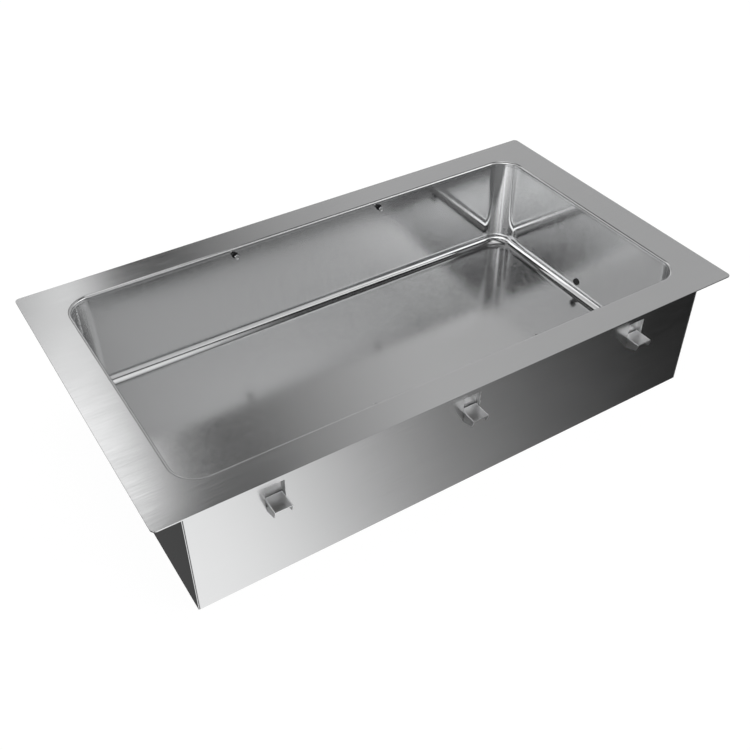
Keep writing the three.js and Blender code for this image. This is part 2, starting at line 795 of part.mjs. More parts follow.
function glandNut() {
  const nut = hexNut(glandNutFlats, glandNutHeight, glandThread + fit);
  return nut.rotateX(-Math.PI / 2).translate(glandX, insideSide - glandNutHeight, glandZ);
}

// Earth stud with its head inside the wall and one nut outside.
function earthStud() {
  const stud = turned([
    [0, -casingSheet - earthInside], [earthInsideHead, -casingSheet - earthInside],
    [earthInsideHead, -casingSheet], [earthThread, -casingSheet], [earthThread, earthLength],
    [0, earthLength],
  ]);
  return stud.rotateX(-Math.PI / 2).translate(earthX, casingSide, glandZ);
}

function earthNut() {
  const nut = hexNut(earthNutFlats, earthNutHeight, earthThread + fit);
  return nut.rotateX(-Math.PI / 2).translate(earthX, casingSide, glandZ);
}

// Waste fitting: a flange on the floor, a threaded tail down to the base and a tapered mouth.
const drainSealTop = floorTop + drainSealSheet;
const drainTop = drainSealTop + drainFlangeSheet;
const plugHeadRadius = 15.5;
const plugHeadSheet = 1.7;
const plugStem = 3;
const plugStemHeight = 6;
const plugKnob = 6;
const plugKnobHeight = 3;

function drainBody() {
  const seat = drainTop - drainSeatDepth;
  return turned([
    [drainBore, drainGroundGap], [drainTail, drainGroundGap], [drainTail, drainSealTop],
    [drainFlange, drainSealTop], [drainFlange, drainTop], [drainMouth, drainTop],
    [drainBore, seat], [drainBore, drainGroundGap],
  ], roundSteps).translate(drainX, drainY, 0);
}

function drainSeal() {
  return turned([
    [drainTail + fit, floorTop], [drainFlange - fit, floorTop], [drainFlange - fit, drainSealTop],
    [drainTail + fit, drainSealTop], [drainTail + fit, floorTop],
  ], roundSteps).translate(drainX, drainY, 0);
}

function drainNut() {
  const nut = hexNut(drainNutFlats, drainNutHeight, drainTail + fit);
  return nut.translate(drainX, drainY, floorUnder - drainNutHeight);
}

function drainPlug() {
  const seat = drainTop - drainSeatDepth;
  const headTop = drainTop + fit + plugHeadSheet;
  const stemTop = headTop + plugStemHeight;
  return turned([
    [0, seat - drainSeatDepth], [drainBore - 2 * fit, seat - drainSeatDepth],
    [drainBore - 2 * fit, seat], [drainMouth - 2 * fit, drainTop + fit],
    [plugHeadRadius, headTop], [plugStem, headTop], [plugStem, stemTop], [plugKnob, stemTop],
    [plugKnob, stemTop + plugKnobHeight], [0, stemTop + plugKnobHeight],
  ], roundSteps).translate(drainX, drainY, 0);
}

// Level probe: a flanged bush through the end wall with its rod set back in the bore.
function probeBush() {
  const wallOutside = tankSheet;
  return turned([
    [0, wallOutside + probeReach], [0, probeRodLength + fit - probeFlangeSheet - probeSealSheet],
    [probeBore, probeRodLength + fit - probeFlangeSheet - probeSealSheet],
    [probeBore, -probeFlangeSheet - probeSealSheet], [probeFlange, -probeFlangeSheet - probeSealSheet],
    [probeFlange, -probeSealSheet], [probeThread, -probeSealSheet],
    [probeThread, wallOutside + probeReach], [0, wallOutside + probeReach],
  ], roundSteps).rotateY(Math.PI / 2).translate(wellLength / 2, probeOffset, probeZ);
}

function probeSeal() {
  return turned([
    [probeThread + fit, -probeSealSheet], [probeFlange, -probeSealSheet], [probeFlange, 0],
    [probeThread + fit, 0], [probeThread + fit, -probeSealSheet],
  ], roundSteps).rotateY(Math.PI / 2).translate(wellLength / 2, probeOffset, probeZ);
}

function probeNut() {
  const nut = hexNut(probeNutFlats, probeNutHeight, probeThread + fit);
  return nut.rotateY(Math.PI / 2).translate(wellLength / 2 + tankSheet, probeOffset, probeZ);
}

function levelProbe() {
  const start = wellLength / 2 - probeFlangeSheet - probeSealSheet;
  return bar('x', probeRod, start, start + probeRodLength, probeOffset, probeZ);
}

// Studs near the top of both long walls, one pan width apart, on which the bars between pans lie.
const lugDrop = 16;
const lugCollar = 6;
const lugCollarHeight = 2;
const lugNeck = 3.5;
const lugNeckEnd = 8;
const lugHead = 5;
const lugReach = 11;

function barLug(side, k) {
  const stud = turned([
    [0, 0], [lugCollar, 0], [lugCollar, lugCollarHeight], [lugNeck, lugCollarHeight],
    [lugNeck, lugNeckEnd], [lugHead, lugNeckEnd], [lugHead, lugReach], [0, lugReach],
  ]).rotateX(side * Math.PI / 2);
  return stud.translate(k * panWidth / 2, side * wellWidth / 2, rimTop - lugDrop);
}

addPiece('rim_plate', rimPlate(), brushedSteel);
addPiece('well_tank', wellTank(), brushedSteel);
addPiece('rim_seal', rimSeal(), blackRubber);
sides.forEach(({ name, out }) => {
  addPiece(`${name}_left_bar_lug`, barLug(out, -1), dullSteel);
  addPiece(`${name}_right_bar_lug`, barLug(out, 1), dullSteel);
});
addPiece('front_panel', longPanel(-1), brushedSteel);
addPiece('back_panel', longPanel(1), brushedSteel);
addPiece('left_end_panel', endPanel(-1), brushedSteel);
addPiece('right_end_panel', endPanel(1), brushedSteel);
addPiece('front_base_rail', baseRail(-1), dullSteel);
addPiece('back_base_rail', baseRail(1), dullSteel);
addPiece('base_plate', basePlate(), dullSteel);
addPiece('side_insulation', sideInsulation(), mineralWool);
addPiece('floor_insulation', floorInsulation(), mineralWool);
addPiece('heat_spreader', heatSpreader(), aluminium);
heaterNames.forEach((name, i) => addPiece(`heater_${name}`, heater(heaterX(i)), darkSheath));
addPiece('front_heater_strap', heaterStrap(-1), dullSteel);
addPiece('back_heater_strap', heaterStrap(1), dullSteel);
addPiece('control_thermostat', thermostat(-thermostatX, false), blackPlastic);
addPiece('safety_thermostat', thermostat(thermostatX, true), blackPlastic);
addPiece('reset_pin', resetButton(), palePlastic);
addPiece('terminal_box', terminalBox(), blackPlastic);
addPiece('terminal_cover', terminalCover(), blackPlastic);
addPiece('terminal_block', terminalBlock(), palePlastic);
addPiece('cable_gland', cableGland(), blackPlastic);
addPiece('gland_nut', glandNut(), blackPlastic);
addPiece('earth_stud', earthStud(), brass);
addPiece('earth_nut', earthNut(), brass);
addPiece('drain_body', drainBody(), brushedSteel);
addPiece('drain_seal', drainSeal(), blackRubber);
addPiece('drain_nut', drainNut(), brass);
addPiece('drain_plug', drainPlug(), dullSteel);
addPiece('probe_bush', probeBush(), dullSteel);
addPiece('probe_seal', probeSeal(), blackRubber);
addPiece('probe_nut', probeNut(), dullSteel);
addPiece('level_probe', levelProbe(), blackPlastic);
addCatches();

export default bainMarie;
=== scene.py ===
# Drop-in bain-marie for three standard pans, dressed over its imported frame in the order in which
# the real one is put together.

import math

import bmesh
import bpy
from mathutils import Matrix, Vector


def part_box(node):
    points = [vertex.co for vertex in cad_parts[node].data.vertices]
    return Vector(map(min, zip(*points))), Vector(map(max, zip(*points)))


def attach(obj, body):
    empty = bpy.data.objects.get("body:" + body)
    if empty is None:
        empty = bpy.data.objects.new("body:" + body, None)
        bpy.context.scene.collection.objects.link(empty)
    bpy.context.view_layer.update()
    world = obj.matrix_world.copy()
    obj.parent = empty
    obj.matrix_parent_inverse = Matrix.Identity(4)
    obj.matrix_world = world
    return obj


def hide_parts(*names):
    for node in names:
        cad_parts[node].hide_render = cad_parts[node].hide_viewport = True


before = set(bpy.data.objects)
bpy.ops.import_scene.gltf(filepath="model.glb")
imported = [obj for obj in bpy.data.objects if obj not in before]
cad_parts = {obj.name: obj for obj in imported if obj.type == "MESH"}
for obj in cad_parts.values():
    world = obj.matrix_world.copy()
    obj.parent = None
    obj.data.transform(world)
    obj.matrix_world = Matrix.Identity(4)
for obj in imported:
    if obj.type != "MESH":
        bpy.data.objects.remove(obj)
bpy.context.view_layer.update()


# Camera
# The photograph looks down on the front left of the unit. Tones are shown as they are.
mm = 0.001
eye = Vector((-0.75556, -1.17820, 1.24949))
looking = Vector((0.40475, 0.63784, -0.65524))
aim = looking.to_track_quat("-Z", "Y").to_matrix().to_4x4()
lens = bpy.data.cameras.new("photo_camera")
lens.lens = 46.0
lens.sensor_width = 36.0
lens.clip_start = 10 * mm
photo_camera = bpy.data.objects.new("photo_camera", lens)
photo_camera.matrix_world = Matrix.Translation(eye) @ aim
bpy.context.scene.collection.objects.link(photo_camera)
bpy.context.scene.camera = photo_camera
bpy.context.scene.view_settings.view_transform = "Standard"


# Room
# A plain soft studio that the steel mirrors: lighter and darker bands, one above the other, which
# fade into each other. The camera itself sees plain white.
class Wire:
    """A socket in a node tree. Arithmetic on it adds Math nodes; node() adds any other node."""

    def __init__(self, tree, socket=None):
        self.tree = tree
        self.socket = socket

    def node(self, kind, settings=None, sockets=None, output=0):
        made = self.tree.nodes.new(kind)
        for name, value in (settings or {}).items():
            if name == "stops":
                ramp = made.color_ramp.elements
                while len(ramp) < len(value):
                    ramp.new(0.5)
                for element, (place, level) in zip(ramp, value):
                    element.position = place
                    element.color = (level, level, level, 1.0)
            else:
                setattr(made, name, value)
        for name, value in (sockets or {}).items():
            if isinstance(value, Wire):
                self.tree.links.new(value.socket, made.inputs[name])
            else:
                made.inputs[name].default_value = value
        return Wire(self.tree, made.outputs[output])

    def maths(self, operation, *values):
        return self.node("ShaderNodeMath", {"operation": operation}, dict(enumerate(values)))

    def __add__(self, other):
        return self.maths("ADD", self, other)

    def __sub__(self, other):
        return self.maths("SUBTRACT", self, other)

    def __mul__(self, other):
        return self.maths("MULTIPLY", self, other)

    def __radd__(self, other):
        return self.maths("ADD", other, self)

    def __rsub__(self, other):
        return self.maths("SUBTRACT", other, self)

    def __rmul__(self, other):
        return self.maths("MULTIPLY", other, self)

    def clamped(self):
        return self.node("ShaderNodeClamp", None, {"Value": self})

    def between(self, low, high):
        """Colour that goes from low to high as this number goes from 0 to 1."""
        return self.node("ShaderNodeMix", {"data_type": "RGBA"}, {0: self, 6: low, 7: high}, 2)

    def stretched(self, scale):
        return self.node("ShaderNodeVectorMath", {"operation": "MULTIPLY"}, {0: self, 1: scale})

    def noise(self, scale, detail):
        return self.node("ShaderNodeTexNoise", None,
                         {"Vector": self, "Scale": scale, "Detail": detail})


# Levels of the room by how far east a direction points, from -1 to 1. Either side has one band
# below the horizon, three above it and a dark one over these, and the ceiling has one of its own.
brightest = 3.2
north_low = ((-1, 0.05), (-0.1, 0.08), (0.2, 0.3), (1, 0.1))
north_foot = ((-1, 0.5), (-0.2, 0.5), (0.1, 1.0), (0.5, 1.4), (0.6, 0.8), (1, 0.5))
north_mid = ((-1, 0.5), (-0.75, 0.7), (-0.3, 0.6), (0.09, 0.45), (0.12, 0.55), (0.145, 1.25),
             (0.17, 1.1), (0.205, 0.08), (0.25, 0.03), (0.31, 0.3), (0.37, 0.44), (0.46, 0.54),
             (1, 0.5))
north_high = ((-1, 0.5), (-0.6, 0.8), (-0.3, 1.0), (-0.1, 1.4), (0.12, 1.6), (0.15, 1.6),
              (0.185, 0.3), (0.21, 0.13), (0.27, 0.15), (0.33, 0.35), (0.44, 0.62), (0.6, 0.52),
              (1, 0.4))
north_gap = ((-1, 0.5), (-0.45, 0.5), (-0.3, 0.01), (0.27, 0.01), (0.38, 0.6), (1, 0.5))
south_low = ((-1, 0.01), (-0.6, 0.01), (-0.5, 0.1), (-0.35, 0.4), (-0.25, 0.7), (0.0, 0.9),
             (0.14, 1.35), (0.21, 1.25), (0.277, 1.02), (0.33, 0.7), (0.39, 0.46), (0.44, 0.31),
             (0.52, 0.16), (0.58, 0.08), (0.64, 0.015), (1, 0.01))
south_mid = ((-1, 1.3), (-0.72, 2.6), (-0.55, 2.9), (-0.4, 1.9), (-0.15, 1.0), (0.1, 0.7),
             (0.35, 0.7), (0.45, 1.1), (0.54, 2.2), (0.7, 2.0), (1, 0.8))
south_high = ((-1, 0.01), (-0.72, 0.01), (-0.69, 1.3), (-0.66, 1.5), (-0.64, 0.6), (-0.625, 0.02),
              (-0.59, 0.01), (0.08, 0.01), (0.17, 0.75), (0.35, 0.76), (0.42, 0.6), (0.48, 0.38),
              (0.54, 0.2), (0.58, 0.02), (1, 0.01))
south_top = ((-1, 0.3), (-0.3, 0.3), (0.2, 0.8), (0.3, 1.8), (0.5, 2.0), (0.6, 0.8), (1, 0.5))
south_gap = ((-1, 0.5), (-0.45, 0.5), (-0.3, 0.01), (0.55, 0.01), (0.7, 0.4), (1, 0.4))
ceiling = ((-1, 0.02), (-0.3, 0.02), (-0.1, 0.8), (0, 1.1), (0.25, 1.1), (0.33, 0.03), (1, 0.02))

world = bpy.data.worlds.new("studio")
bpy.context.scene.world = world
world.use_nodes = True
world.node_tree.nodes.clear()
room = Wire(world.node_tree)
direction = room.node("ShaderNodeTexCoord", output="Generated")
east, north, up = (
    room.node("ShaderNodeSeparateXYZ", None, {0: direction}, output=axis) for axis in "XYZ"
)


def band(levels):
    """Grey of one band of the room, from its levels."""
    stops = [((place + 1) / 2, level / brightest) for place, level in levels]
    return room.node("ShaderNodeValToRGB", {"stops": stops}, {0: east * 0.5 + 0.5})


def past(share, edge, spread):
    """Goes from 0 to 1 as the east, north or upward share of a direction passes an edge."""
    return (share * (1 / spread) + (0.5 - edge / spread)).clamped()


# Each line lays the next band on the ones before it, from the height at which it takes over.
on_north = past(north, 0, 0.25)
on_east = past(east, 0, 0.25)
off_west = past(east, -0.575, 0.025)
western_step = off_west.between(past(up, 0.5, 0.015), past(up, 0.52, 0.015))
south_step = on_east.between(western_step, past(up, 0.555, 0.03))
south_side = south_step.between(band(south_mid), band(south_high))
south_side = past(up, 0.7, 0.06).between(south_side, band(south_top))
north_side = past(up, 0.615, 0.08).between(band(north_mid), band(north_high))
north_side = past(up, 0.34, 0.06).between(band(north_foot), north_side)
sides = on_north.between(south_side, north_side)
dark_band = on_north.between(band(south_gap), band(north_gap))
above = past(up, 0.755, 0.015).between(sides, dark_band)
above = past(up, 0.88, 0.08).between(above, band(ceiling))
below = on_north.between(band(south_low), band(north_low))
glow = past(up, 0.12, 0.1).between(below, above)
studio_light = room.node("ShaderNodeBackground", None, {"Color": glow, "Strength": brightest})
plain_white = room.node("ShaderNodeBackground", None, {"Color": (1, 1, 1, 1), "Strength": 1.0})
seen = room.node("ShaderNodeLightPath", output="Is Camera Ray")
whole = room.node("ShaderNodeMixShader", None, {0: seen, 1: studio_light, 2: plain_white})
ending = world.node_tree.nodes.new("ShaderNodeOutputWorld")
world.node_tree.links.new(whole.socket, ending.inputs["Surface"])


# Floor
# White paper just under the unit. Most of its light is its own, so that it stays white and even
# with only a faint shadow, and the steel doesn't mirror it.
bpy.ops.object.select_all(action="DESELECT")
bpy.ops.mesh.primitive_plane_add(size=14, location=(0, 0, -0.5 * mm))
floor = bpy.context.object
floor.name = "floor"
floor.visible_glossy = False
paper = bpy.data.materials.new("white_paper")
paper.use_nodes = True
paper.node_tree.nodes.clear()
sheet = Wire(paper.node_tree)
own_light = 0.86
matt = sheet.node("ShaderNodeBsdfDiffuse", None, {"Color": (0.9, 0.9, 0.9, 1)})
bright = sheet.node("ShaderNodeEmission", None, {"Color": (1, 1, 1, 1), "Strength": 1.09})
lit = sheet.node("ShaderNodeMixShader", None, {0: own_light, 1: matt, 2: bright})
ending = paper.node_tree.nodes.new("ShaderNodeOutputMaterial")
paper.node_tree.links.new(lit.socket, ending.inputs["Surface"])
floor.data.materials.append(paper)


# Rim
# One flat frame of 2 mm stainless sheet with small round corners. Its opening is rolled down into
# a short lip, and the face is brushed along its length.
def finish(name, **constants):
    """A new finish: its material, and a wire at the piece's own coordinates."""
    material = bpy.data.materials.new(name)
    material.use_nodes = True
    shader = material.node_tree.nodes["Principled BSDF"]
    for socket, value in constants.items():
        shader.inputs[socket.replace("_", " ")].default_value = value
    return material, Wire(material.node_tree).node("ShaderNodeTexCoord", output="Object")


def feed(material, **wires):
    """Links what changes over the surface to the shader."""
    shader = material.node_tree.nodes["Principled BSDF"]
    for socket, wire in wires.items():
        material.node_tree.links.new(wire.socket, shader.inputs[socket.replace("_", " ")])
    return material


def toned(tone, spread):
    """The darkest and the palest that a colour gets."""
    return [[level * (1 + change) for level in tone] + [1.0] for change in (-spread, spread)]


def bumped(height, depth):
    """Dents of a depth in the surface."""
    return height.node("ShaderNodeBump", None,
                       {"Strength": 0.35, "Distance": depth, "Height": height})


def brushed_steel(name, tone, roughness, grain, depth=0.02 * mm, dull_below=0.0, duller=0.0):
    """Stainless sheet: fine scratches along its grain, slow cloudy changes of tone and gloss, and
    duller below a height."""
    coarser, fade = 0.22, 2 * mm
    material, place = finish(name, Metallic=1.0)
    scratch = place.stretched(grain).noise(1.0, 3.0)
    coarse = place.stretched([share * coarser for share in grain]).noise(1.0, 2.0)
    cloud = place.noise(5.0, 3.0)
    lines = scratch * 0.6 + coarse * 0.4
    shade = (lines * 0.6 + cloud * 0.4).clamped()
    gloss = (lines - 0.5) * 0.16 + (cloud - 0.5) * 0.10 + roughness
    if duller:
        height = place.node("ShaderNodeSeparateXYZ", None, {0: place}, 2)
        gloss = gloss + ((dull_below - height) * (1 / fade)).clamped() * duller
    return feed(material, Base_Color=shade.between(*toned(tone, 0.07)),
                Roughness=gloss.clamped(), Normal=bumped(lines, depth))


def new_block(name, low, high):
    """A block between two corners, its place in its mesh, left in edit mode."""
    bpy.ops.object.select_all(action="DESELECT")
    middle = [(a + b) / 2 for a, b in zip(low, high)]
    bpy.ops.mesh.primitive_cube_add(size=1, location=middle)
    piece = bpy.context.object
    piece.name = name
    piece.scale = [b - a for a, b in zip(low, high)]
    bpy.ops.object.transform_apply()
    bpy.ops.object.mode_set(mode="EDIT")
    return piece


def pick(kind, test):
    """Selects the corners, edges or faces of the piece in edit mode that pass a test."""
    bpy.ops.mesh.select_mode(type=kind)
    bpy.ops.mesh.select_all(action="DESELECT")
    mesh = bpy.context.object.data
    shape = bmesh.from_edit_mesh(mesh)
    shape.normal_update()
    for each in {"VERT": shape.verts, "EDGE": shape.edges, "FACE": shape.faces}[kind]:
        if test(each):
            each.select_set(True)
    bmesh.update_edit_mesh(mesh)


def upright(edge):
    """Whether an edge stands straight up."""
    a, b = (corner.co for corner in edge.verts)
    return abs(a.z - b.z) > 0.9 * (a - b).length


def folded(edge):
    """Whether two faces meet sharply at an edge."""
    return len(edge.link_faces) == 2 and edge.calc_face_angle() > 1


def loose(edge):
    """Whether an edge bounds one face at most."""
    return len(edge.link_faces) < 2


def modified(piece, kind, **settings):
    """Adds a modifier and applies it."""
    if bpy.context.mode != "OBJECT":
        bpy.ops.object.mode_set(mode="OBJECT")
    bpy.context.view_layer.objects.active = piece
    modifier = piece.modifiers.new(kind.lower(), kind)
    for name, value in settings.items():
        setattr(modifier, name, value)
    bpy.ops.object.modifier_apply(modifier=modifier.name)


def of_sheet(piece, thickness):
    """Gives a skin the thickness of its sheet, inwards."""
    modified(piece, "SOLIDIFY", thickness=thickness, offset=-1, use_even_offset=True)


def completed(piece, material, body, slot, *replaced, edge):
    """Breaks the sharp edges, shades the piece, gives it its finish and fastens it to its body."""
    sharp, round_enough = math.radians(40), math.radians(32)
    if edge:
        modified(piece, "BEVEL", width=edge, segments=2, limit_method="ANGLE", angle_limit=sharp)
    bpy.ops.object.select_all(action="DESELECT")
    piece.select_set(True)
    bpy.context.view_layer.objects.active = piece
    bpy.ops.object.shade_smooth_by_angle(angle=round_enough)
    modified(piece, "WEIGHTED_NORMAL", keep_sharp=True)
    piece.data.materials.clear()
    piece.data.materials.append(material)
    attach(piece, body)
    if replaced:
        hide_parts(*replaced)


# Half of the opening: three pans fit in it side by side, and their ends lie on the rim.
pan_width, pan_length = 325 * mm, 530 * mm
well = Vector(((3 * pan_width + 10 * mm) / 2, (pan_length - 22 * mm) / 2))
well_corner = 45 * mm
rim_low, rim_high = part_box("rim_plate")
rim_sheet, rim_roll, rim_corner = 2 * mm, 5 * mm, 8 * mm
strip = 6 * mm
rim_steel = brushed_steel("rim_steel", (0.63, 0.633, 0.636), 0.17, (30, 900, 900), 0.012 * mm)

reach = 2 * strip
rim = new_block("rim", (-well.x - reach, -well.y - reach, rim_low.z),
                (well.x + reach, well.y + reach, rim_high.z))
pick("FACE", lambda face: face.normal.z < -0.5)
bpy.ops.mesh.delete(type="ONLY_FACE")
pick("EDGE", upright)
bpy.ops.mesh.bevel(offset=well_corner + reach, segments=24, affect="EDGES")
pick("FACE", lambda face: abs(face.normal.z) < 0.5)
bpy.ops.mesh.delete(type="FACE")
pick("FACE", lambda face: True)
bpy.ops.mesh.inset(thickness=strip)
bpy.ops.mesh.inset(thickness=strip)
bpy.ops.mesh.extrude_region_move(
    TRANSFORM_OT_translate={"value": (0, 0, rim_low.z - rim_high.z)})
bpy.ops.mesh.delete(type="ONLY_FACE")
pick("EDGE", folded)
bpy.ops.mesh.bevel(offset=rim_roll, segments=8, affect="EDGES")
bpy.ops.mesh.primitive_plane_add(size=1, location=(0, 0, rim_high.z))
bpy.ops.transform.resize(value=(rim_high.x - rim_low.x, rim_high.y - rim_low.y, 1),
                         center_override=(0, 0, rim_high.z))
bpy.ops.mesh.bevel(offset=rim_corner, segments=24, affect="VERTICES")
bpy.ops.mesh.delete(type="ONLY_FACE")
pick("EDGE", lambda edge: loose(edge) and edge.verts[0].co.z > rim_high.z - mm)
bpy.ops.mesh.bridge_edge_loops()
pick("FACE", lambda face: True)
bpy.ops.mesh.normals_make_consistent(inside=False)
if any(face.normal.z < -0.9 for face in bmesh.from_edit_mesh(rim.data).faces):
    bpy.ops.mesh.flip_normals()
of_sheet(rim, rim_sheet)
completed(rim, rim_steel, "unit", "satin_stainless", "rim_plate", edge=0.4 * mm)


# Well
# Deep-drawn tank of 1.5 mm stainless sheet, welded under the lip of the rim: straight walls, round
# upright corners and a round fillet all round the floor. The floor and one end wall are pierced.
tank_low, tank_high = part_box("well_tank")
tank_sheet = 1.5 * mm
floor_z = tank_low.z + tank_sheet
floor_fillet = 20 * mm
drain = Vector((-440 * mm, -200 * mm, 0))
drain_hole = 16.9 * mm
probe = Vector((well.x, -5 * mm, 71 * mm))
probe_hole = 5.8 * mm
well_steel = brushed_steel("well_steel", (0.64, 0.643, 0.646), 0.11, (500, 500, 60), 0.01 * mm,
                           floor_z + 4 * mm, 0.05)


def cut_away(piece, cutter, operation="DIFFERENCE"):
    """Takes the cutter's shape out of the piece, or all but it, and deletes the cutter."""
    modified(piece, "BOOLEAN", object=cutter, operation=operation, solver="EXACT")
    bpy.data.objects.remove(cutter)


def bored(piece, radius, place, axis="Z", depth=100 * mm, sides=48):
    """A round hole through the piece."""
    bpy.ops.object.select_all(action="DESELECT")
    turn = {"X": (0, math.pi / 2, 0), "Y": (math.pi / 2, 0, 0), "Z": (0, 0, 0)}[axis]
    bpy.ops.mesh.primitive_cylinder_add(vertices=sides, radius=radius, depth=depth,
                                        location=place, rotation=turn)
    cut_away(piece, bpy.context.object)


tank = new_block("well", (-well.x, -well.y, floor_z), (well.x, well.y, tank_high.z))
pick("FACE", lambda face: face.normal.z > 0.5)
bpy.ops.mesh.delete(type="ONLY_FACE")
pick("EDGE", upright)
bpy.ops.mesh.bevel(offset=well_corner, segments=24, affect="EDGES")
pick("FACE", lambda face: face.normal.z < -0.5)
bpy.ops.mesh.inset(thickness=floor_fillet + mm)
pick("EDGE", folded)
bpy.ops.mesh.bevel(offset=floor_fillet, segments=14, affect="EDGES")
pick("FACE", lambda face: True)
bpy.ops.mesh.flip_normals()
of_sheet(tank, tank_sheet)
bored(tank, drain_hole, (drain.x, drain.y, floor_z))
bored(tank, probe_hole, probe, "X", 20 * mm)
completed(tank, well_steel, "unit", "satin_stainless", "well_tank", edge=0)


# Foam seal
# Strip of black closed-cell foam stuck under the edge of the rim, which seals it to the worktop.
seal_low, seal_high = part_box("rim_seal")
seal_width, seal_corner = 10 * mm, 5 * mm


def speckled(name, tone, roughness, scale, depth, metallic=0.0, spread=0.12):
    """A finish with fine grain and slow changes of tone, such as moulded, cast or foamed stuff."""
    material, place = finish(name, Metallic=metallic)
    grain = place.noise(scale, 3.0)
    cloud = place.noise(14.0, 2.0)
    shade = (grain * 0.6 + cloud * 0.4).clamped()
    gloss = (grain - 0.5) * 0.2 + (cloud - 0.5) * 0.15 + roughness
    return feed(material, Base_Color=shade.between(*toned(tone, spread)),
                Roughness=gloss.clamped(), Normal=bumped(grain, depth))


foam = speckled("foam_rubber", (0.03, 0.03, 0.031), 0.85, 1400.0, 0.12 * mm, spread=0.3)
seal = new_block("seal", seal_low, seal_high)
pick("EDGE", upright)
bpy.ops.mesh.bevel(offset=seal_corner, segments=8, affect="EDGES")
pick("FACE", lambda face: abs(face.normal.z) > 0.5)
bpy.ops.mesh.inset(thickness=seal_width)
bpy.ops.mesh.delete(type="ONLY_FACE")
pick("EDGE", loose)
bpy.ops.mesh.bridge_edge_loops()
pick("FACE", lambda face: True)
bpy.ops.mesh.normals_make_consistent(inside=False)
completed(seal, foam, "unit", "foam_rubber", "rim_seal", edge=0.6 * mm)


# Bar studs
# Four turned steel studs near the top of the long walls, one pan width apart, welded on by their
# collars. Collar and neck are painted near-black as painted shade, and the head is bright. The bars
# between two pans lie on the necks.
stud_height = 227 * mm
stud_steel = speckled("stud_steel", (0.62, 0.623, 0.626), 0.2, 500.0, 0.01 * mm,
                      metallic=1.0, spread=0.05)
# Collar and neck get a near-black steel: painted shade standing in for the dark of the studs.
painted_shade_steel = speckled("painted_shade_steel", (0.035, 0.035, 0.037), 0.3, 500.0, 0.01 * mm,
                     metallic=1.0, spread=0.1)


def drawn(name, line):
    """A line drawn corner by corner, left in edit mode with all of it selected."""
    bpy.ops.object.select_all(action="DESELECT")
    bpy.ops.mesh.primitive_plane_add(size=mm)
    piece = bpy.context.object
    piece.name = name
    bpy.ops.object.mode_set(mode="EDIT")
    bpy.ops.mesh.select_mode(type="VERT")
    bpy.ops.mesh.merge(type="CENTER")
    bpy.ops.transform.translate(value=line[0])
    for here, there in zip(line, line[1:]):
        bpy.ops.mesh.extrude_region_move(TRANSFORM_OT_translate={"value": there - here})
    bpy.ops.mesh.select_all(action="SELECT")
    return piece


def stood(piece, place, along):
    """Turns a piece from upright to stand along a direction, and moves it to its place."""
    bpy.ops.object.select_all(action="DESELECT")
    piece.select_set(True)
    piece.location = place
    piece.rotation_euler = Vector((0, 0, 1)).rotation_difference(Vector(along)).to_euler()
    bpy.ops.object.transform_apply()
    return piece


def turned(name, profile, place, along=(0, 0, 1), steps=48):
    """A piece spun from half its section, a line of radius and height in millimetres."""
    piece = drawn(name, [Vector((radius, 0, height)) * mm for radius, height in profile])
    bpy.ops.mesh.spin(steps=steps, angle=2 * math.pi, center=(0, 0, 0), axis=(0, 0, 1))
    bpy.ops.mesh.select_all(action="SELECT")
    bpy.ops.mesh.remove_doubles(threshold=0.001 * mm)
    bpy.ops.mesh.normals_make_consistent(inside=False)
    bpy.ops.object.mode_set(mode="OBJECT")
    return stood(piece, place, along)


neck_profile = ((0, 0), (6, 0), (6, 2), (3.5, 2.6), (3.5, 8), (0, 8))
head_profile = ((0, 8), (5, 8), (5, 11), (3, 11), (2.2, 10.2), (0, 10.2), (0, 8))
for side, y in (("front", -well.y), ("back", well.y)):
    for end, x in (("left", -pan_width / 2), ("right", pan_width / 2)):
        place, inward = (x, y, stud_height), Vector((0, -y, 0))
        neck = turned(f"{side}_{end}_stud_neck", neck_profile, place, inward)
        completed(neck, painted_shade_steel, "unit", "dull_stainless", f"{side}_{end}_bar_lug",
                  edge=0.4 * mm)
        head = turned(f"{side}_{end}_stud_head", head_profile, place, inward)
        completed(head, stud_steel, "unit", "dull_stainless", f"{side}_{end}_bar_lug",
                  edge=0.4 * mm)


# Level probe
# Black moulded bush through the right end wall on a foam washer, held by a nut outside the tank,
# with its sensing rod, black too, set back in its bore.
black = speckled("black_plastic", (0.028, 0.028, 0.03), 0.45, 900.0, 0.03 * mm, spread=0.25)
bush_profile = ((0, 6.8), (4.2, 6.8), (4.2, -2.2), (4.8, -2.5), (7.0, -2.5), (7.5, -2.1),
                (7.5, -1), (5.5, -1), (5.5, 14.5), (0, 14.5))
bush = turned("probe_body", bush_profile, probe, (1, 0, 0))
completed(bush, black, "unit", "black_plastic", "probe_bush", edge=0.15 * mm)
rod_profile = ((0, -2.5), (1.8, -2.4), (2.7, -1.9), (3, -1.1), (3, 6.5), (0, 6.5))
rod = turned("probe_rod", rod_profile, probe, (1, 0, 0))
completed(rod, black, "unit", "black_plastic", "level_probe", edge=0)
washer_profile = ((5.8, -1), (7.5, -1), (7.5, 0), (5.8, 0), (5.8, -1))
washer = turned("probe_washer", washer_profile, probe, (1, 0, 0))
completed(washer, foam, "unit", "foam_rubber", "probe_seal", edge=0.2 * mm)


def hex_nut(name, flats, height, bore, place, along=(0, 0, 1)):
    """Nut with chamfered corners, its sizes in millimetres, standing on its place."""
    point = flats / math.sqrt(3)
    face = flats * 0.48
    flare = (point - face) * 0.55
    spare = 0.1
    outline = ((bore, 0), (face, 0), (point + spare, flare), (point + spare, height - flare),
               (face, height), (bore, height), (bore, 0))
    barrel = turned("barrel", outline, (0, 0, 0))
    bpy.ops.object.select_all(action="DESELECT")
    bpy.ops.mesh.primitive_cylinder_add(vertices=6, radius=point * mm, depth=2 * height * mm)
    nut = bpy.context.object
    nut.name = name
    cut_away(nut, barrel, "INTERSECT")
    return stood(nut, place, along)


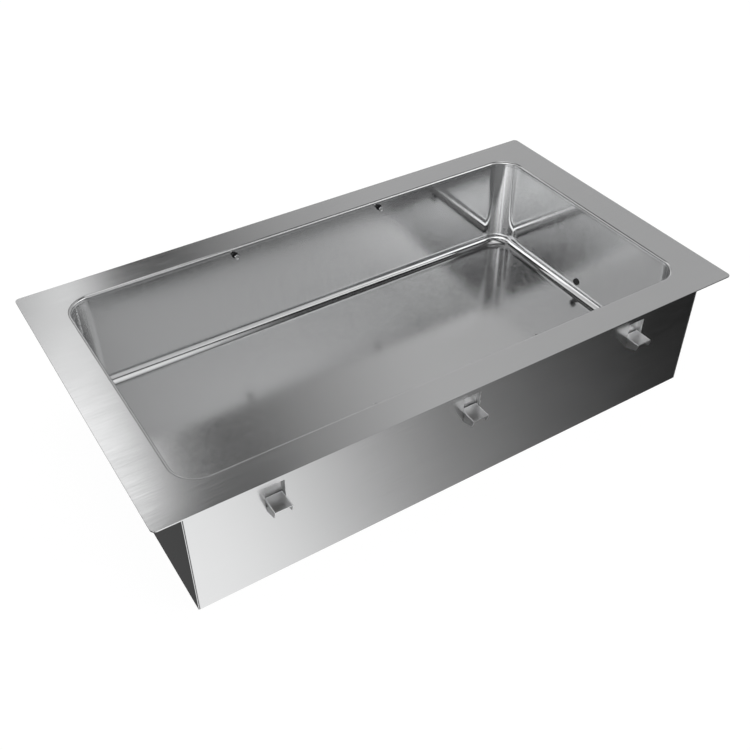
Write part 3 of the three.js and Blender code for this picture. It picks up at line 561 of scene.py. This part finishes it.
nut_place = probe + Vector((tank_sheet, 0, 0))
probe_nut = hex_nut("probe_lock_nut", 17, 5, 5.8, nut_place, (1, 0, 0))
completed(probe_nut, stud_steel, "unit", "dull_stainless", "probe_nut", edge=0.2 * mm)


# Waste fitting
# Flanged waste in the front left corner of the floor, with a tapered mouth, clamped through the
# floor by a brass nut under it, and a turned plug that stands in the mouth by its own weight.
def threaded(radius, start, stop, pitch=1.5):
    """Profile of a screw thread, drawn as a row of sharp rings."""
    rings = int((stop - start) / pitch)
    return [(radius - (0.35 * pitch if step % 2 == 0 else 0), start + step * pitch / 2)
            for step in range(1, 2 * rings)]


body_profile = ((12.5, 1.5), (16, 1.5), *threaded(16.6, 1.8, 42), (16.6, 42.4), (16.6, 44),
                (27, 44), (27, 45), (24, 46), (17, 46), (16.5, 45.6), (12.5, 42), (12.5, 1.5))
waste = turned("waste_body", body_profile, drain, steps=64)
completed(waste, stud_steel, "unit", "satin_stainless", "drain_body", edge=0.1 * mm)
ring_profile = ((16.9, 43), (26.7, 43), (26.7, 44), (16.9, 44), (16.9, 43))
waste_seal = turned("waste_seal", ring_profile, drain, steps=64)
completed(waste_seal, foam, "unit", "foam_rubber", "drain_seal", edge=0.2 * mm)
brass = speckled("brass", (0.66, 0.52, 0.25), 0.32, 700.0, 0.02 * mm, metallic=1.0, spread=0.08)
nut_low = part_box("drain_nut")[0]
waste_nut = hex_nut("waste_nut", 44, 8, 16.9, (drain.x, drain.y, nut_low.z))
completed(waste_nut, brass, "unit", "brass", "drain_nut", edge=0.3 * mm)
plug_profile = ((0, 38), (11.4, 38), (11.9, 38.5), (11.9, 42), (15.9, 46.3), (15.5, 47.6),
                (14.5, 48), (3.6, 48), (3, 48.6), (3, 53.4), (3.4, 54), (5.6, 54), (6, 54.5),
                (6, 56.2), (5.2, 57), (0, 57))
plug = turned("waste_plug", plug_profile, drain, steps=64)
completed(plug, stud_steel, "drain_plug", "dull_stainless", "drain_plug", edge=0.1 * mm)


# Heating
# An aluminium plate bonded under the floor spreads the heat of three bent tubular elements, one for
# each pan, which two folded straps press against it. The sheaths have tinted with heat.
def dressed(material, *names):
    """A CAD node keeps its shape and gets the finish."""
    for name in names:
        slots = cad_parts[name].data.materials
        slots.clear()
        slots.append(material)


aluminium = brushed_steel("aluminium", (0.72, 0.73, 0.74), 0.4, (30, 500, 500))
dressed(aluminium, "heat_spreader")
sheath, place = finish("heater_sheath", Metallic=0.9)
tint = place.noise(22.0, 3.0)
scale_marks = place.noise(900.0, 2.0)
feed(sheath, Base_Color=tint.between((0.16, 0.15, 0.15, 1), (0.36, 0.29, 0.2, 1)),
     Roughness=(scale_marks * 0.25 + 0.4).clamped(),
     Normal=bumped(scale_marks, 0.03 * mm))
dressed(sheath, "heater_left", "heater_middle", "heater_right")
dull_steel = brushed_steel("dull_steel", (0.5, 0.505, 0.51), 0.38, (200, 200, 200), 0.03 * mm)
dressed(dull_steel, "front_heater_strap", "back_heater_strap")


# Thermostats
# Two disc thermostats stand on the plate between the elements. The right one cuts out and is reset
# by a pale pin pressed from below.
dressed(black, "control_thermostat", "safety_thermostat")
pale_plastic = speckled("pale_plastic", (0.68, 0.67, 0.62), 0.45, 800.0, 0.03 * mm, spread=0.05)
reset_low, reset_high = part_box("reset_pin")
pin_length = (reset_high.z - reset_low.z) / mm
pin_profile = ((0, 0), (1.4, 0), (1.9, 0.35), (2, 0.9), (2, pin_length), (0, pin_length))
pin = turned("reset_button", pin_profile, (pan_width / 2, 0, reset_low.z))
completed(pin, pale_plastic, "reset_pin", "pale_plastic", "reset_pin", edge=0)


# Insulation
# Mineral wool: a band round the tank and a pad on the base, both yellow-brown and fibrous.
wool, place = finish("mineral_wool", Roughness=1.0)
upright_fibres = place.stretched((90, 90, 700)).noise(1.0, 4.0)
level_fibres = place.stretched((700, 60, 120)).noise(1.0, 4.0)
fibres = upright_fibres * 0.5 + level_fibres * 0.5
clumps = place.noise(35.0, 3.0)
shade = (fibres * 0.6 + clumps * 0.4).clamped()
feed(wool, Base_Color=shade.between((0.3, 0.25, 0.11, 1), (0.66, 0.57, 0.3, 1)),
     Normal=bumped(fibres * 0.7 + clumps * 0.3, 1.5 * mm))
dressed(wool, "side_insulation", "floor_insulation")


# Long walls of the casing
# Each is one stainless sheet, folded back at both ends and folded in under the rim, with a window
# punched for every catch. The back one is also pierced for the cable gland and the earth stud.
casing_sheet = 1.2 * mm
casing_fold = 2 * mm
flange_end = 497.3 * mm
catch_places = {"left": -365 * mm, "middle": 0.0, "right": 365 * mm}
window_half = 17 * mm
window_low, window_high = 158.75 * mm, 200.75 * mm
gland = Vector((470.5 * mm, 285.5 * mm, 20 * mm))
gland_hole = 10.3 * mm
earth = Vector((432.5 * mm, 285.5 * mm, 20 * mm))
earth_hole = 3.3 * mm
through = 10 * mm
casing_steel = brushed_steel("casing_steel", (0.62, 0.623, 0.626), 0.2, (30, 30, 900))
wall_low, wall_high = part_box("front_panel")


def sliced(spots, normal):
    """New edges across the piece in edit mode, at some places along an axis."""
    for spot in spots:
        bpy.ops.mesh.select_all(action="SELECT")
        bpy.ops.mesh.bisect(plane_co=[spot * share for share in normal], plane_no=normal)


def placed_copy(model, name, x=0.0, turn=0.0):
    """A copy with its own mesh, turned about the middle of the unit and moved along it."""
    bpy.ops.object.select_all(action="DESELECT")
    model.select_set(True)
    bpy.context.view_layer.objects.active = model
    bpy.ops.object.duplicate()
    piece = bpy.context.object
    piece.name = name
    piece.rotation_euler.z = turn
    piece.location.x = x
    bpy.ops.object.transform_apply()
    return piece


front_wall = new_block("front_wall", wall_low, wall_high)
pick("FACE", lambda face: face.normal.z < -0.5 or face.normal.y > 0.5)
bpy.ops.mesh.delete(type="FACE")
sliced((-flange_end, flange_end), (1, 0, 0))
pick("FACE", lambda face: face.normal.z > 0.5 and abs(face.calc_center_median().x) > flange_end)
bpy.ops.mesh.delete(type="FACE")
pick("EDGE", folded)
bpy.ops.mesh.bevel(offset=casing_fold, segments=5, affect="EDGES")
of_sheet(front_wall, casing_sheet)
for x in catch_places.values():
    window = new_block("window", (x - window_half, wall_low.y - through / 2, window_low),
                       (x + window_half, wall_low.y + through / 2, window_high))
    cut_away(front_wall, window)
back_wall = placed_copy(front_wall, "back_wall", turn=math.pi)
bored(back_wall, gland_hole, gland, "Y", through)
bored(back_wall, earth_hole, earth, "Y", through)
completed(front_wall, casing_steel, "unit", "satin_stainless", "front_panel", edge=0.2 * mm)
completed(back_wall, casing_steel, "unit", "satin_stainless", "back_panel", edge=0.2 * mm)


# End walls of the casing
# Each is one stainless sheet that laps over the folded ends of the long walls and is spot-welded
# to them, folded in under the rim between them.
end_low, end_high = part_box("right_end_panel")
end_flange = 269.5 * mm
right_wall = new_block("right_wall", end_low, end_high)
pick("FACE", lambda face: face.normal.x < -0.5 or face.normal.z < -0.5 or abs(face.normal.y) > 0.5)
bpy.ops.mesh.delete(type="FACE")
sliced((-end_flange, end_flange), (0, 1, 0))
pick("FACE", lambda face: face.normal.z > 0.5 and abs(face.calc_center_median().y) > end_flange)
bpy.ops.mesh.delete(type="FACE")
pick("EDGE", folded)
bpy.ops.mesh.bevel(offset=casing_fold, segments=5, affect="EDGES")
of_sheet(right_wall, casing_sheet)
left_wall = placed_copy(right_wall, "left_wall", turn=math.pi)
completed(right_wall, casing_steel, "unit", "satin_stainless", "right_end_panel", edge=0.2 * mm)
completed(left_wall, casing_steel, "unit", "satin_stainless", "left_end_panel", edge=0.2 * mm)


# Catches
# Behind each window stands a folded bracket with a riveted hinge pin, and on the pin hangs a folded
# channel, flanges down, which stands out of the window and folds up into it.
# Catch and bracket steel is toned paler than the casing steel: painted light that lifts the shade
# inside the windows.
painted_light_catch_steel = brushed_steel("painted_light_catch_steel", (0.76, 0.762, 0.765), 0.32, (30, 260, 260))
catch_sheet = 1.5 * mm
outer_fold = 2.5 * mm
pin_hole = 1.8 * mm
# In millimetres, as beside() takes them.
pin_inward, pin_height, eye_radius = 6, 167, 4
tongue_reach, tongue_half, tongue_foot = 26.5, 15.75, 149
tongue_top = pin_height + eye_radius
cutter_half = 20
bracket_foot, bracket_height = 153.75, 52


def beside(inward, height, across=0.0):
    """A point by how many millimetres inward of the front wall it lies, its height and its place
    along the wall."""
    return Vector((across * mm, wall_low.y + inward * mm, height * mm))


hinge = beside(pin_inward, pin_height)
catch = new_block("catch", beside(-tongue_reach, tongue_foot, -tongue_half),
                  beside(pin_inward + eye_radius, tongue_top, tongue_half))
pick("FACE", lambda face: face.normal.z < -0.5 or abs(face.normal.y) > 0.5)
bpy.ops.mesh.delete(type="FACE")
pick("EDGE", folded)
bpy.ops.mesh.bevel(offset=outer_fold, segments=6, affect="EDGES")
of_sheet(catch, catch_sheet)
eye_round = [(pin_inward + eye_radius * math.cos(turn), pin_height + eye_radius * math.sin(turn))
             for turn in (step * math.pi / 16 for step in range(9))]
flange_outline = [(-0.3, tongue_foot), (-0.3, 160), (pin_inward, 160), *eye_round,
                  (-tongue_reach, tongue_top + 0.1), (-tongue_reach, 168), (-26, 166),
                  (-23.2, 157.5), (-21.5, 156)]
side_view = drawn("side_view",
                  [beside(inward, height, -cutter_half) for inward, height in flange_outline])
bpy.ops.mesh.edge_face_add()
bpy.ops.mesh.extrude_region_move(TRANSFORM_OT_translate={"value": (2 * cutter_half * mm, 0, 0)})
bpy.ops.mesh.select_all(action="SELECT")
bpy.ops.mesh.normals_make_consistent(inside=False)
cut_away(catch, side_view, "INTERSECT")
bored(catch, pin_hole, hinge, "X", 60 * mm, 24)

bracket_plan = [(1.2, -28.55), (1.2, -16.05), (10.6, -16.05),
                (10.6, 16.05), (1.2, 16.05), (1.2, 28.55)]
bracket = drawn("bracket",
                [beside(inward, bracket_foot, across) for inward, across in bracket_plan])
bpy.ops.mesh.extrude_region_move(TRANSFORM_OT_translate={"value": (0, 0, bracket_height * mm)})
bpy.ops.mesh.select_all(action="SELECT")
bpy.ops.mesh.normals_make_consistent(inside=False)
if any(face.normal.y > 0.9 for face in bmesh.from_edit_mesh(bracket.data).faces):
    bpy.ops.mesh.flip_normals()
pick("EDGE", lambda edge: folded(edge) and edge.verts[0].co.y < hinge.y)
bpy.ops.mesh.bevel(offset=outer_fold, segments=5, affect="EDGES")
pick("EDGE", lambda edge: folded(edge) and edge.verts[0].co.y > hinge.y)
bpy.ops.mesh.bevel(offset=outer_fold - catch_sheet, segments=5, affect="EDGES")
of_sheet(bracket, catch_sheet)
bored(bracket, pin_hole, hinge, "X", 80 * mm, 24)

rivet_profile = ((0, -18.85), (1.7, -18.85), (2.4, -18.4), (2.4, -17.85), (1.5, -17.85),
                 (1.5, 17.85), (2.4, 17.85), (2.4, 18.4), (1.7, 18.85), (0, 18.85))
rivet = turned("rivet", rivet_profile, hinge, (1, 0, 0), 24)
for side, turn in (("front", 0.0), ("back", math.pi)):
    for spot, x in catch_places.items():
        label = f"{side}_{spot}"
        completed(placed_copy(bracket, f"{label}_hinge_bracket", x, turn), painted_light_catch_steel, "unit",
                  "dull_stainless", f"{label}_bracket", edge=0.2 * mm)
        completed(placed_copy(catch, f"{label}_tongue", x, turn), painted_light_catch_steel, f"{label}_catch",
                  "satin_stainless", f"{label}_catch", edge=0.2 * mm)
        completed(placed_copy(rivet, f"{label}_rivet", x, turn), stud_steel, "unit",
                  "dull_stainless", f"{label}_hinge_pin", edge=0)
for model in (bracket, catch, rivet):
    bpy.data.objects.remove(model)


# Cable gland and earth stud
# Black moulded gland low on the back wall, screwed through it from outside, and a brass stud beside
# it with its nut for the bonding wire.
gland_profile = ((6, -10.2), (9.4, -10.2), *threaded(10, -10, -1.4), (10, -1.2), (10, 3.7),
                 (11, 3.7), (11, 8), (10.6, 9), (8.6, 11.6), (8, 12), (6.6, 12), (6, 11.4),
                 (6, -10.2))
gland_body = turned("gland_body", gland_profile, gland, (0, 1, 0))
completed(gland_body, black, "unit", "black_plastic", "cable_gland", edge=0.1 * mm)
collar = hex_nut("gland_collar", 24, 4, 10, gland, (0, 1, 0))
completed(collar, black, "unit", "black_plastic", edge=0.3 * mm)
nut_place = gland - Vector((0, casing_sheet + 4 * mm, 0))
lock_nut = hex_nut("gland_lock_nut", 24, 4, 10.3, nut_place, (0, 1, 0))
completed(lock_nut, black, "unit", "black_plastic", "gland_nut", edge=0.3 * mm)
earth_profile = ((0, -5.2), (4.6, -5.2), (5, -4.8), (5, -1.2), (3, -1.2), (3, 0),
                 *threaded(3, 0.4, 11.4, 0.8), (2.6, 11.7), (2.2, 12), (0, 12))
earth_bolt = turned("earth_bolt", earth_profile, earth, (0, 1, 0), 32)
completed(earth_bolt, brass, "unit", "brass", "earth_stud", edge=0)
bond_nut = hex_nut("bond_nut", 10, 4, 3.3, earth, (0, 1, 0))
completed(bond_nut, brass, "unit", "brass", "earth_nut", edge=0.2 * mm)


# Terminal box
# Moulded black box with its cover on the base, round a pale block of five screw terminals.
dressed(black, "terminal_box", "terminal_cover")
dressed(pale_plastic, "terminal_block")


# Base
# Two angle rails inside the long walls carry the base, one sheet with two groups of vent slots,
# which ten pan-head screws hold on from below.
dressed(dull_steel, "front_base_rail", "back_base_rail")
base_steel = brushed_steel("base_steel", (0.5, 0.505, 0.51), 0.34, (20, 500, 500), 0.03 * mm)
base_x, base_y, base_z, notch = 511 * mm, 284 * mm, 3.5 * mm, 16 * mm
slot_width, slot_length, slot_pitch, slot_count = 5 * mm, 70 * mm, 14 * mm, 9
waste_opening = 21.6 * mm
bpy.ops.object.select_all(action="DESELECT")
bpy.ops.mesh.primitive_plane_add(size=1, location=(0, 0, base_z))
base = bpy.context.object
base.name = "base"
base.scale = (2 * base_x, 2 * base_y, 1)
bpy.ops.object.transform_apply()
bpy.ops.object.mode_set(mode="EDIT")
sliced((notch - base_x, base_x - notch), (1, 0, 0))
sliced((notch - base_y, base_y - notch), (0, 1, 0))
pick("FACE", lambda face: abs(face.calc_center_median().x) > base_x - notch
     and abs(face.calc_center_median().y) > base_y - notch)
bpy.ops.mesh.delete(type="FACE")
pick("FACE", lambda face: True)
if bmesh.from_edit_mesh(base.data).faces[:][0].normal.z > 0:
    bpy.ops.mesh.flip_normals()
of_sheet(base, casing_sheet)
for middle in (-240 * mm, 240 * mm):
    first = middle - slot_pitch * (slot_count - 1) / 2
    slot_low = Vector((first - slot_width / 2, -slot_length / 2, base_z - 2 * mm))
    slots = new_block("slots", slot_low, slot_low + Vector((slot_width, slot_length, 6 * mm)))
    pick("EDGE", upright)
    bpy.ops.mesh.bevel(offset=slot_width * 0.49, segments=6, affect="EDGES")
    modified(slots, "ARRAY", count=slot_count, use_relative_offset=False,
             use_constant_offset=True, constant_offset_displace=(slot_pitch, 0, 0))
    cut_away(base, slots)
bored(base, waste_opening, (drain.x, drain.y, base_z), "Z", through)
completed(base, base_steel, "unit", "dull_stainless", "base_plate", edge=0.15 * mm)

screw_x, screw_y = 370 * mm, 276.8 * mm
screw_profile = ((0, -2.2), (2.6, -2.2), (3.6, -1.7), (4, -0.8), (4, 0), (2, 0),
                 *threaded(2, 1.2, 5.6, 0.7), (0, 6))
screw = turned("screw", screw_profile, (0, -screw_y, base_z), steps=24)
for wide, deep in ((0.35, 2.2), (2.2, 0.35)):
    low = Vector((-wide * mm, -screw_y - deep * mm, base_z - 2.6 * mm))
    cut_away(screw, new_block("recess", low, low + Vector((2 * wide, 2 * deep, 1.5)) * mm))
for side, turn in (("front", 0.0), ("back", math.pi)):
    for number in range(5):
        x = (number / 2 - 1) * screw_x
        completed(placed_copy(screw, f"{side}_base_screw_{number + 1}", x, turn), stud_steel,
                  "unit", "dull_stainless", edge=0)
bpy.data.objects.remove(screw)
